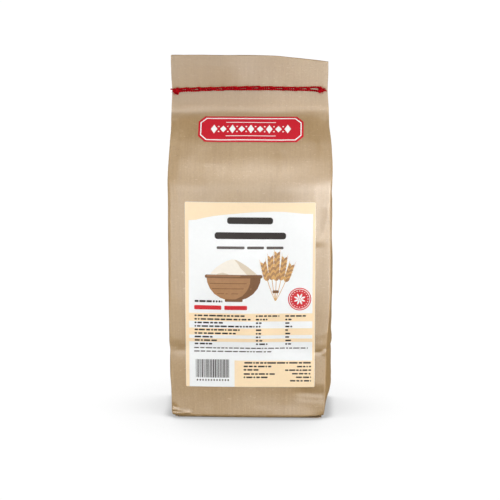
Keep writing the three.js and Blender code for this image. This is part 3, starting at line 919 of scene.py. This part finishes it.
# a plain picture of its own: a low bowl of flour and three ears of grain
art = []  # materials: 0 tan, 1 brown, 2 straw, 3 cream, 4 shade
heap = [(24.0, 73.0), (27.0, 68.6), (31.5, 64.0), (36.5, 60.6), (42.0, 57.6), (47.5, 55.8), (52.0, 56.6), (57.0, 59.2),
        (62.5, 62.6), (67.5, 66.6), (72.0, 70.4), (74.0, 73.0)]
art.append((shape(heap), 3, 0))
art.append((shape([(49.5, 56.0), (52.0, 56.6), (57.0, 59.2), (62.5, 62.6), (67.5, 66.6), (72.0, 70.4), (74.0, 73.0),
                   (64.0, 73.0), (60.0, 68.4), (56.0, 64.6), (53.5, 60.4)]), 4, 1))
art.append((shape([(29.0, 73.0), (33.0, 70.2), (38.0, 69.0), (43.0, 70.4), (47.0, 73.0)]), 4, 1))
bowl = [(21.5, 73.0), (76.5, 73.0), (75.6, 79.0), (73.0, 85.0), (68.6, 90.4), (62.4, 94.4), (57.5, 96.0), (40.5, 96.0),
        (35.6, 94.4), (29.4, 90.4), (25.0, 85.0), (22.4, 79.0)]
art.append((shape(bowl), 0, 2))
art.append((shape([(66.0, 73.0), (76.5, 73.0), (75.6, 79.0), (73.0, 85.0), (68.6, 90.4), (62.4, 94.4), (57.5, 96.0),
                   (50.0, 96.0), (57.6, 92.4), (62.6, 87.0), (65.4, 80.4)]), 1, 3))
for x0, y0, x1, y1 in ((24.6, 79.6, 62.4, 80.3), (27.2, 84.8, 59.6, 85.5), (32.0, 89.8, 54.0, 90.4)):
    art.append((shape([(x0, y0), (x1, y0), (x1 - 0.8, y1), (x0 + 0.5, y1)]), 1, 4))
art.append((shape(rounded(40.0, 58.0, 95.6, 98.2, 0.9)), 1, 4))
art.append((shape(rounded(20.0, 78.0, 71.2, 74.6, 1.6)), 1, 5))
art.append((shape(rounded(22.0, 56.0, 71.9, 72.8, 0.4)), 0, 6))


def ear(x0, y0, x1, y1, bend, grains):
    """One ear of grain: a stalk and two rows of pointed grains with awns."""
    stalk = []
    for k in range(13):
        t = k / 12
        stalk.append((mix(x0, x1, t) + bend * 4 * t * (1 - t), mix(y0, y1, t)))
    left = [(x - 0.32, y) for x, y in stalk]
    right = [(x + 0.32, y) for x, y in stalk]
    art.append((shape(left + right[::-1]), 2, 0))
    for g in range(grains):
        t = 1 - g * 0.068
        k = min(11, int(t * 12))
        px, py = (mix(stalk[k][c], stalk[min(12, k + 1)][c], t * 12 - k) for c in (0, 1))
        dx, dy = stalk[min(12, k + 1)][0] - stalk[k][0], stalk[min(12, k + 1)][1] - stalk[k][1]
        if k == 11:
            dx, dy = stalk[12][0] - stalk[11][0], stalk[12][1] - stalk[11][1]
        up = math.atan2(dy, dx)
        for side in (-1, 1):
            turn = up + side * 0.5
            c, s_ = math.cos(turn), math.sin(turn)
            body = []
            for a in range(10):
                ang = 2 * math.pi * a / 10
                lx, ly = 2.7 + 2.7 * math.cos(ang), 1.25 * math.sin(ang) * (1.15 - 0.25 * math.cos(ang))
                body.append((px + lx * c - ly * s_, py + lx * s_ + ly * c))
            art.append((shape(body), 2 if (side < 0) == (g % 2 == 0) else 0, 2 + 2 * g + (side > 0)))
            tip = (px + 5.2 * c, py + 5.2 * s_)
            far = (tip[0] + 4.4 * math.cos(up + side * 0.22), tip[1] + 4.4 * math.sin(up + side * 0.22))
            art.append((shape([(tip[0] - 0.2, tip[1]), (tip[0] + 0.2, tip[1]), far]), 2, 1))


ear(90.6, 97.0, 79.5, 63.0, -1.0, 7)
ear(91.4, 97.0, 106.0, 65.0, 1.0, 7)
ear(90.8, 97.0, 86.2, 57.0, -0.8, 8)
ear(91.2, 97.0, 99.6, 58.0, 0.8, 8)
ear(91.0, 97.0, 92.6, 53.0, 0.0, 9)
art.append((shape(rounded(88.0, 94.4, 86.6, 89.4, 1.1)), 1, 24))
ink("label_picture", main, art, [TAN, BROWN, STRAW, CREAM, SHADE], FACE + 0.06, cuts_x, cuts_v)

# the round red seal: a plain rayed disc
cx, cy = at(115.4, 95.6)
r = 11.75 * UX
seal = [(disc(cx, cy, r, 56), 0)]
over = [(q, 1) for q in ring(cx, cy, r * 0.86, r * 0.91, 56)]
for k in range(20):
    a = 2 * math.pi * k / 20
    over.append((disc(cx + r * 0.72 * math.cos(a), cy + r * 0.72 * math.sin(a), r * 0.042, 10), 1))
for k in range(8):
    a = 2 * math.pi * k / 8 + math.pi / 8
    over.append((disc(cx + r * 0.3 * math.cos(a), cy + r * 0.3 * math.sin(a), r * 0.21, 16, 0.36, a), 1))
over.append((disc(cx, cy, r * 0.075, 14), 1))
ink("label_seal", main, seal, [SEAL_RED], FACE + 0.08, cuts_x, cuts_v)
ink("label_seal_lines", main, [(p, 0) for p, _ in over], [WHITE], FACE + 0.11, cuts_x, cuts_v)

# ---------------------------------------------------------------- the red badge on the shoulder
top = Sheet(*BADGE, calm=False)
BH = top.height
B0, B1 = BADGE[0], BADGE[1]


def cut_corner(inset, c):
    x0, x1, y0, y1 = B0 + inset, B1 - inset, inset, BH - inset
    return [(x0 + c, y0), (x1 - c, y0), (x1, y0 + c), (x1, y1 - c), (x1 - c, y1), (x0 + c, y1), (x0, y1 - c), (x0, y0 + c)]


bx, bv = list(np.arange(B0 + 3.5, B1, 3.5)), list(np.arange(1.6, BH, 1.6))
badge = solid_sheet("badge_sheet", top, cut_corner(0, 5.0), BADGE_RED, 0.12, 0.16, bx, bv)
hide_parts("badge")
lines = []
outer, inner = cut_corner(1.5, 4.5), cut_corner(2.3, 4.15)
for k in range(8):
    lines.append([outer[k], outer[(k + 1) % 8], inner[(k + 1) % 8], inner[k]])
mid_x, mid_v = (B0 + B1) / 2, BH / 2


def lozenge(x, y, w, h):
    return [(x - w, y), (x, y - h), (x + w, y), (x, y + h)]


for k in range(-4, 5):
    lines.append(lozenge(mid_x + k * 7.0, mid_v, 2.5, 4.3 if k % 2 == 0 else 3.2))
for k in range(-4, 4):
    for dy in (-4.0, 4.0):
        lines.append(disc(mid_x + (k + 0.5) * 7.0, mid_v + dy * 0.62, 0.62, 12))
for dy in (-1, 1):
    lines.append([(mid_x - 19, mid_v + dy * 6.6 - 0.28), (mid_x + 19, mid_v + dy * 6.6 - 0.28),
                  (mid_x + 19, mid_v + dy * 6.6 + 0.28), (mid_x - 19, mid_v + dy * 6.6 + 0.28)])
ink("badge_lines", top, [(p, 0) for p in lines], [WHITE], 0.12 + 0.16 + 0.05, bx, bv)


# ---------------------------------------------------------------- the sewn cord
def smooth_path(points, per=10, closed=False):
    p = np.asarray(points, float)
    n = len(p)
    out = []
    for i in range(n if closed else n - 1):
        a, b, c, d = (p[(i + k) % n] if closed else p[min(max(i + k, 0), n - 1)] for k in (-1, 0, 1, 2))
        for k in range(per):
            t = k / per
            out.append(
                0.5 * (2 * b + (c - a) * t + (2 * a - 5 * b + 4 * c - d) * t * t + (3 * b - a - 3 * c + d) * t**3)
            )
    if not closed:
        out.append(p[-1])
    return np.array(out)


def resample(path, step, closed=False):
    if closed:
        path = np.concatenate([path, path[:1]])
    seg = np.linalg.norm(np.diff(path, axis=0), axis=1)
    d = np.concatenate([[0], np.cumsum(seg)])
    n = max(4, int(round(d[-1] / step)))
    t = np.linspace(0, d[-1], n + 1)
    if closed:
        t = t[:-1]
    return np.stack([np.interp(t, d, path[:, i]) for i in range(3)], -1), d[-1]


def frames(path, closed=False):
    n = len(path)
    if closed:
        tan = np.roll(path, -1, 0) - np.roll(path, 1, 0)
    else:
        tan = np.gradient(path, axis=0)
    tan /= np.maximum(np.linalg.norm(tan, axis=1, keepdims=True), 1e-9)
    first = np.cross(tan[0], (0, 1, 0.3))
    first /= np.linalg.norm(first)
    ns = [first]
    for i in range(1, n):
        v = ns[-1] - tan[i] * np.dot(ns[-1], tan[i])
        ns.append(v / max(np.linalg.norm(v), 1e-9))
    ns = np.array(ns)
    return tan, ns, np.cross(tan, ns)


class Yarn:
    def __init__(self):
        self.v, self.f, self.n = [], [], 0

    def tube(self, path, radius, sides=7, closed=False, caps=True):
        tan, a, b = frames(path, closed)
        radius = np.broadcast_to(np.asarray(radius, float), (len(path),))
        ang = np.linspace(0, 2 * np.pi, sides, endpoint=False)
        ringp = (
            path[:, None]
            + a[:, None] * (np.cos(ang)[None, :, None] * radius[:, None, None])
            + b[:, None] * (np.sin(ang)[None, :, None] * radius[:, None, None])
        )
        m = len(path)
        base = self.n
        self.v.append(ringp.reshape(-1, 3))
        self.n += m * sides
        for i in range(m if closed else m - 1):
            for j in range(sides):
                p, q = base + i * sides + j, base + i * sides + (j + 1) % sides
                k = base + ((i + 1) % m) * sides
                self.f.append((p, q, k + (j + 1) % sides, k + j))
        if caps and not closed:
            self.f.append(tuple(base + j for j in reversed(range(sides))))
            self.f.append(tuple(base + (m - 1) * sides + j for j in range(sides)))

    def twisted(self, path, radius, pitch=3.0, closed=False, plies=2, step=0.26, phase=0.0):
        """A cord of twisted plies along the path, a little uneven in thickness."""
        p, length = resample(path, step, closed)
        tan, a, b = frames(p, closed)
        turns = length / pitch
        if closed:
            turns = max(1, round(turns))
        k = np.linspace(0, 1, len(p), endpoint=not closed)
        r_ply = radius * (0.56 if plies == 2 else 0.5)
        for ply in range(plies):
            ang = phase + 2 * np.pi * (k * turns + ply / plies)
            off = radius - r_ply
            q = p + off * (a * np.cos(ang)[:, None] + b * np.sin(ang)[:, None])
            self.tube(q, r_ply * (1 + 0.06 * np.sin(np.arange(len(p)) * 0.9 + ply)), 7, closed)

    def made(self, name):
        return piece(name, np.concatenate(self.v), self.f, [CORD])


def on_front(points):
    """Turns (x, how far proud, how far above the seam) into places on the flat top's front."""
    p = np.asarray(points, float)
    zz = seam_z(p[:, 0]) + p[:, 2]
    s = 60 + p[:, 0] * (60 / 59.4)
    out = skin(np.clip(s, 0.4, 119.6), zz)
    out[:, 0] = p[:, 0]
    out[:, 1] -= p[:, 1]
    out[:, 2] = zz
    return out


cord_rng = random.Random(19)
chain = Yarn()
loops = []
for n in range(len(HOLES) - 1):
    x0, x1 = HOLES[n], HOLES[n + 1]
    wide = cord_rng.uniform(0.84, 1.14)
    tilt = cord_rng.uniform(-0.30, 0.30)
    high = cord_rng.uniform(-0.2, 0.2)
    if n == len(HOLES) - 2:
        wide, tilt, high = 1.62, 0.0, 0.35
    L = x1 - x0
    side = []
    # from the hole, over the end of the loop before, along, and round the base of the next loop
    for t, off, dz in (
        (-0.02, -0.9, 0.10), (0.03, 0.7, 0.2), (0.10, 2.0, 0.38), (0.22, 2.15, 0.58), (0.40, 1.4, 0.74),
        (0.62, 1.05, 0.80), (0.84, 0.9, 0.86), (1.0, 0.86, 0.92), (1.10, 0.86, 0.78), (1.165, 0.86, 0.42),
    ):
        side.append((x0 + t * L, off, dz * wide, t))
    end = [(x0 + 1.185 * L, 0.86, 0.0, 1.185)]
    full = side + end + [(x, off, -dz, t) for x, off, dz, t in reversed(side)]
    pts = [(x, off, dz + high * math.sin(math.pi * min(1, max(0, t))) + tilt * (t - 0.5)) for x, off, dz, t in full]
    path = smooth_path(on_front(pts), 8)
    loops.append(path)
    chain.twisted(path, 0.84 * cord_rng.uniform(0.94, 1.06), 3.3, phase=cord_rng.uniform(0, 6))
# the first strand comes from the knot at the left
for dz in (0.45, -0.5):
    lead = on_front([(-57.6, 1.4, 0.6 * dz), (-56.6, 1.5, dz), (-55.0, 1.5, dz), (-53.4, 1.3, dz), (-51.5, 1.0, 0.8 * dz)])
    chain.twisted(smooth_path(lead, 8), 0.78, 3.1)
cord = chain.made("cord_chain")
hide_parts("seam_cord")


def knot(yarn, cx, dz, sx, sy, sz, turn, strand, lift):
    t = np.linspace(0, 2 * np.pi, 90, endpoint=False)
    x = (np.sin(t) + 2 * np.sin(2 * t)) / 3
    v = (np.cos(t) - 2 * np.cos(2 * t)) / 3
    o = -np.sin(3 * t)
    c, s_ = math.cos(turn), math.sin(turn)
    x, v = x * c - v * s_, x * s_ + v * c
    centre = on_front([(cx, 0, dz)])[0]
    path = np.stack([centre[0] + x * sx, centre[1] - lift - o * sy, centre[2] + v * sz], -1)
    yarn.twisted(path, strand, 2.8, closed=True, step=0.24)
    # a turn of cord round the middle
    a = np.linspace(0, 2 * np.pi, 40, endpoint=False)
    ringp = np.stack(
        [centre[0] + 0.5 * sx * np.cos(a) * 0.9, centre[1] - lift + (sy + 0.35) * np.sin(a), centre[2] + sz * 0.62 * np.cos(a)],
        -1,
    )
    yarn.twisted(ringp, strand * 0.9, 2.6, closed=True, step=0.24)


ends = Yarn()
knot(ends, -56.0, -0.5, 2.15, 0.9, 2.2, 0.4, 0.95, 2.0)
knot(ends, 54.3, -0.3, 1.8, 0.85, 1.9, 1.3, 0.9, 2.0)
# the tail at the left, over the edge, and the one at the right, both cut and a little frayed
left_tail = on_front([(-57.2, 1.6, 0.3), (-58.6, 1.5, 0.8), (-59.5, 1.3, 1.1)])
left_tail = np.concatenate([left_tail, left_tail[-1:] + [[-1.0, 0.2, 0.1]]])
ends.twisted(smooth_path(left_tail, 8), 0.62, 2.6)
right_tail = on_front([(55.2, 1.8, -0.6), (56.5, 1.7, -0.5), (57.7, 1.4, -0.7), (58.6, 1.2, -1.0)])
ends.twisted(smooth_path(right_tail, 8), 0.66, 2.6)
small_tail = on_front([(55.6, 1.8, 0.4), (56.9, 1.8, 0.7), (57.8, 1.5, 0.5)])
ends.twisted(smooth_path(small_tail, 8), 0.5, 2.4)
ends.made("cord_knots")

# at the back: a single cord that dips at each hole
back_pts = []
for n, hx in enumerate(HOLES):
    back_pts.append((hx, 0.2))
    if n + 1 < len(HOLES):
        for t in (0.2, 0.5, 0.8):
            back_pts.append((hx + t * STITCH, 0.85))
back_pts = [(-58.4, 0.7)] + back_pts + [(54.6, 0.8), (55.8, 0.8)]
bp = np.array([(x, 0, seam_z(x)) for x, _ in back_pts])
s_back = PANEL_W + GUSSET_W + 60 - bp[:, 0] * (60 / 59.4)
surf = skin(np.clip(s_back, PANEL_W + GUSSET_W + 0.4, 2 * PANEL_W + GUSSET_W - 0.4), bp[:, 2])
bp[:, 1] = surf[:, 1] + np.array([o for _, o in back_pts])
rear = Yarn()
rear.twisted(smooth_path(bp, 8), 0.72, 3.1)
rear.made("cord_back")

# fine loose hairs of the cord
fuzz = Yarn()
hair_rng = random.Random(5)
for path in loops:
    for _ in range(34):
        k = hair_rng.randrange(8, len(path) - 8)
        p0 = path[k]
        direction = np.array([hair_rng.gauss(0, 0.6), -abs(hair_rng.gauss(0.4, 0.4)), hair_rng.gauss(0, 1.0)])
        direction /= np.linalg.norm(direction)
        length = hair_rng.uniform(0.5, 1.5)
        curl = np.array([hair_rng.gauss(0, 0.5), hair_rng.gauss(0, 0.2), hair_rng.gauss(0, 0.5)])
        hair = [p0 + direction * (0.6 + length * t) + curl * t * t * 0.8 for t in (0, 0.35, 0.7, 1.0)]
        fuzz.tube(np.array(hair), [0.045, 0.04, 0.03, 0.014], 3)
for cx, cz in ((-56.0, -0.5), (54.3, -0.3)):
    c = on_front([(cx, 2.2, cz)])[0]
    for _ in range(90):
        direction = np.array([hair_rng.gauss(0, 1), -abs(hair_rng.gauss(0.3, 0.6)), hair_rng.gauss(0, 1.0)])
        direction /= np.linalg.norm(direction)
        p0 = c + direction * [2.5, 1.2, 2.4]
        curl = np.array([hair_rng.gauss(0, 0.5), 0, hair_rng.gauss(0, 0.5)])
        hair = [p0 + direction * hair_rng.uniform(0.7, 1.3) * t + curl * t * t for t in (0, 0.35, 0.7, 1.0)]
        fuzz.tube(np.array(hair), [0.045, 0.04, 0.03, 0.014], 3)
fuzz.made("cord_hairs")


# ---------------------------------------------------------------- the folded base
def flap(name, outline, z_low, z_high, mat):
    bm = bmesh.new()
    low = [bm.verts.new((x, y, z_low)) for x, y in outline]
    high = [bm.verts.new((x, y, z_high)) for x, y in outline]
    bm.faces.new(list(reversed(low)))
    bm.faces.new(high)
    n = len(outline)
    for k in range(n):
        bm.faces.new([low[k], low[(k + 1) % n], high[(k + 1) % n], high[k]])
    bm.verts.index_update()
    pts = np.array([v.co[:] for v in bm.verts])
    faces = [[v.index for v in f.verts] for f in bm.faces]
    bm.free()
    uvp = pts[:, :2] + [700, 0]
    return piece(name, pts, faces, [mat], uvp, np.zeros(len(pts)), smooth=False)


# two end pieces folded in with slanting sides, then two long flaps over them
flap("base_end_right", [(56.5, -31.8), (56.5, 31.8), (26, 15), (26, -15)], 0.11, 0.30, KRAFT_BASE)
flap("base_end_left", [(-56.5, 31.8), (-56.5, -31.8), (-26, -15), (-26, 15)], 0.11, 0.30, KRAFT_BASE)
flap("base_flap_back", [(-54, 32.4), (-30, -6), (30, -6), (54, 32.4)][::-1], 0.06, 0.20, KRAFT_BASE)
flap("base_flap_front", [(-55, -32.4), (55, -32.4), (29, 10), (-29, 10)], 0.0, 0.12, KRAFT_BASE)

# ---------------------------------------------------------------- floor, light and camera
# A white floor that glows evenly, so it stays white to the horizon, and darkens where the bag stands
# close to it: the soft shadow of a light from all round.
floor_m = Nodes("floor")


def nearness(reach):
    n = floor_m.node("ShaderNodeAmbientOcclusion", samples=16)
    n.inputs["Distance"].default_value = reach
    return n.outputs["AO"]


wide = floor_m.ramp(nearness(0.16), 0.42, 0.97, 0.74, 1.03)
close = floor_m.ramp(nearness(0.012), 0.5, 0.95, 0.62, 1.0)
floor_m.set("Base Color", (0, 0, 0, 1))
floor_m.set("Roughness", 1.0)
floor_m.set("Specular IOR Level", 0.0)
floor_m.set("Emission Color", (1, 1, 1, 1))
floor_m.set("Emission Strength", floor_m.math("MULTIPLY", wide, close))
F = 40000.0
floor = piece("floor", [(-F, -F, 0), (F, -F, 0), (F, F, 0), (-F, F, 0)], [(0, 1, 2, 3)], [floor_m.mat], smooth=False, stage=True)
floor.visible_diffuse = False
floor.visible_glossy = False
# a white wall far behind on every side, so that a low view has no dark horizon; it lights nothing
wall_m = Nodes("backdrop")
wall_m.set("Base Color", (0, 0, 0, 1))
wall_m.set("Roughness", 1.0)
wall_m.set("Specular IOR Level", 0.0)
wall_m.set("Emission Color", (1, 1, 1, 1))
wall_m.set("Emission Strength", 1.03)
turn = [2 * math.pi * k / 72 for k in range(72)]
low = [(6000.0 * math.cos(t), 6000.0 * math.sin(t), -30.0) for t in turn]
high = [(x, y, 4000.0) for x, y, _ in low]
wall = piece("backdrop", low + high, [((k + 1) % 72, k, 72 + k, 72 + (k + 1) % 72) for k in range(72)], [wall_m.mat], stage=True)
wall.visible_diffuse = False
wall.visible_glossy = False
wall.visible_shadow = False
for m in (floor_m, wall_m):
    m.mat.cycles.emission_sampling = "NONE"


world = bpy.data.worlds.new("world")
world.use_nodes = True
wt = world.node_tree
ray = wt.nodes.new("ShaderNodeTexCoord")
part = wt.nodes.new("ShaderNodeSeparateXYZ")
wt.links.new(ray.outputs["Generated"], part.inputs[0])
sky = wt.nodes.new("ShaderNodeMapRange")
wt.links.new(part.outputs["Z"], sky.inputs["Value"])
for key, v in (("From Min", -0.02), ("From Max", 0.08), ("To Min", 0.0), ("To Max", 0.80)):
    sky.inputs[key].default_value = v
wt.links.new(sky.outputs["Result"], wt.nodes["Background"].inputs[1])
wt.nodes["Background"].inputs[0].default_value = (1.0, 1.0, 1.0, 1)
bpy.context.scene.world = world
world.cycles_visibility.glossy = False


def softbox(name, place, size, power, gloss):
    """A square lamp, either for the even light on everything or for the sheen on the paper."""
    light = bpy.data.lights.new(name, "AREA")
    light.shape = "SQUARE"
    light.size = size
    light.energy = power
    o = bpy.data.objects.new(name, light)
    o.location = place
    o.rotation_euler = (Vector((0, 0, 0.14)) - o.location).to_track_quat("-Z", "Y").to_euler()
    o.visible_diffuse = not gloss
    o.visible_glossy = gloss
    bpy.context.scene.collection.objects.link(o)


def far(az, el, dist=1.9):
    a, e = math.radians(az), math.radians(el)
    return (dist * math.sin(a) * math.cos(e), -dist * math.cos(a) * math.cos(e), 0.14 + dist * math.sin(e))


softbox("soft", (0.0, -1.0, 0.1), 0.45, 5.9, False)
softbox("side_left", far(-86, 6, 1.0), 0.45, 4.6, False)
softbox("side_right", far(86, 6, 1.0), 0.45, 6.0, False)
softbox("back", far(180, 20, 1.0), 0.45, 4.0, False)
softbox("top", far(-4, 58), 0.9, 1.2, True)
softbox("high", far(0, 38), 0.9, 10.5, True)
softbox("mid", far(4, 16), 0.6, 1.5, True)
softbox("key", (0.75, -1.0, 0.1), 0.45, 3.9, True)
softbox("front", (0.25, -1.0, 0.1), 0.45, 0.5, True)
softbox("fill", (-0.6, -1.0, 0.1), 0.45, 1.7, True)
softbox("sheen_right", (0.25, -0.45, 0.14), 0.12, 0.78, True)
softbox("sheen_left", (-0.17, -0.45, 0.11), 0.12, 0.26, True)

AZ, EL, DIST, FOCAL = 2.0, 10.5, 1.4, 1800.0
target = Vector((0.2, 0, 125.4)) * MM
a, e = math.radians(AZ), math.radians(EL)
cam = bpy.data.cameras.new("camera")
cam.sensor_width = 36
cam.lens = FOCAL / 500 * 36
cam.clip_end = 200
o = bpy.data.objects.new("camera", cam)
o.location = target + Vector((math.sin(a) * math.cos(e), -math.cos(a) * math.cos(e), math.sin(e))) * DIST
o.rotation_euler = (target - o.location).to_track_quat("-Z", "Y").to_euler()
bpy.context.scene.collection.objects.link(o)
bpy.context.scene.camera = o
bpy.context.scene.view_settings.view_transform = "Standard"
bpy.context.scene.view_settings.look = "None"
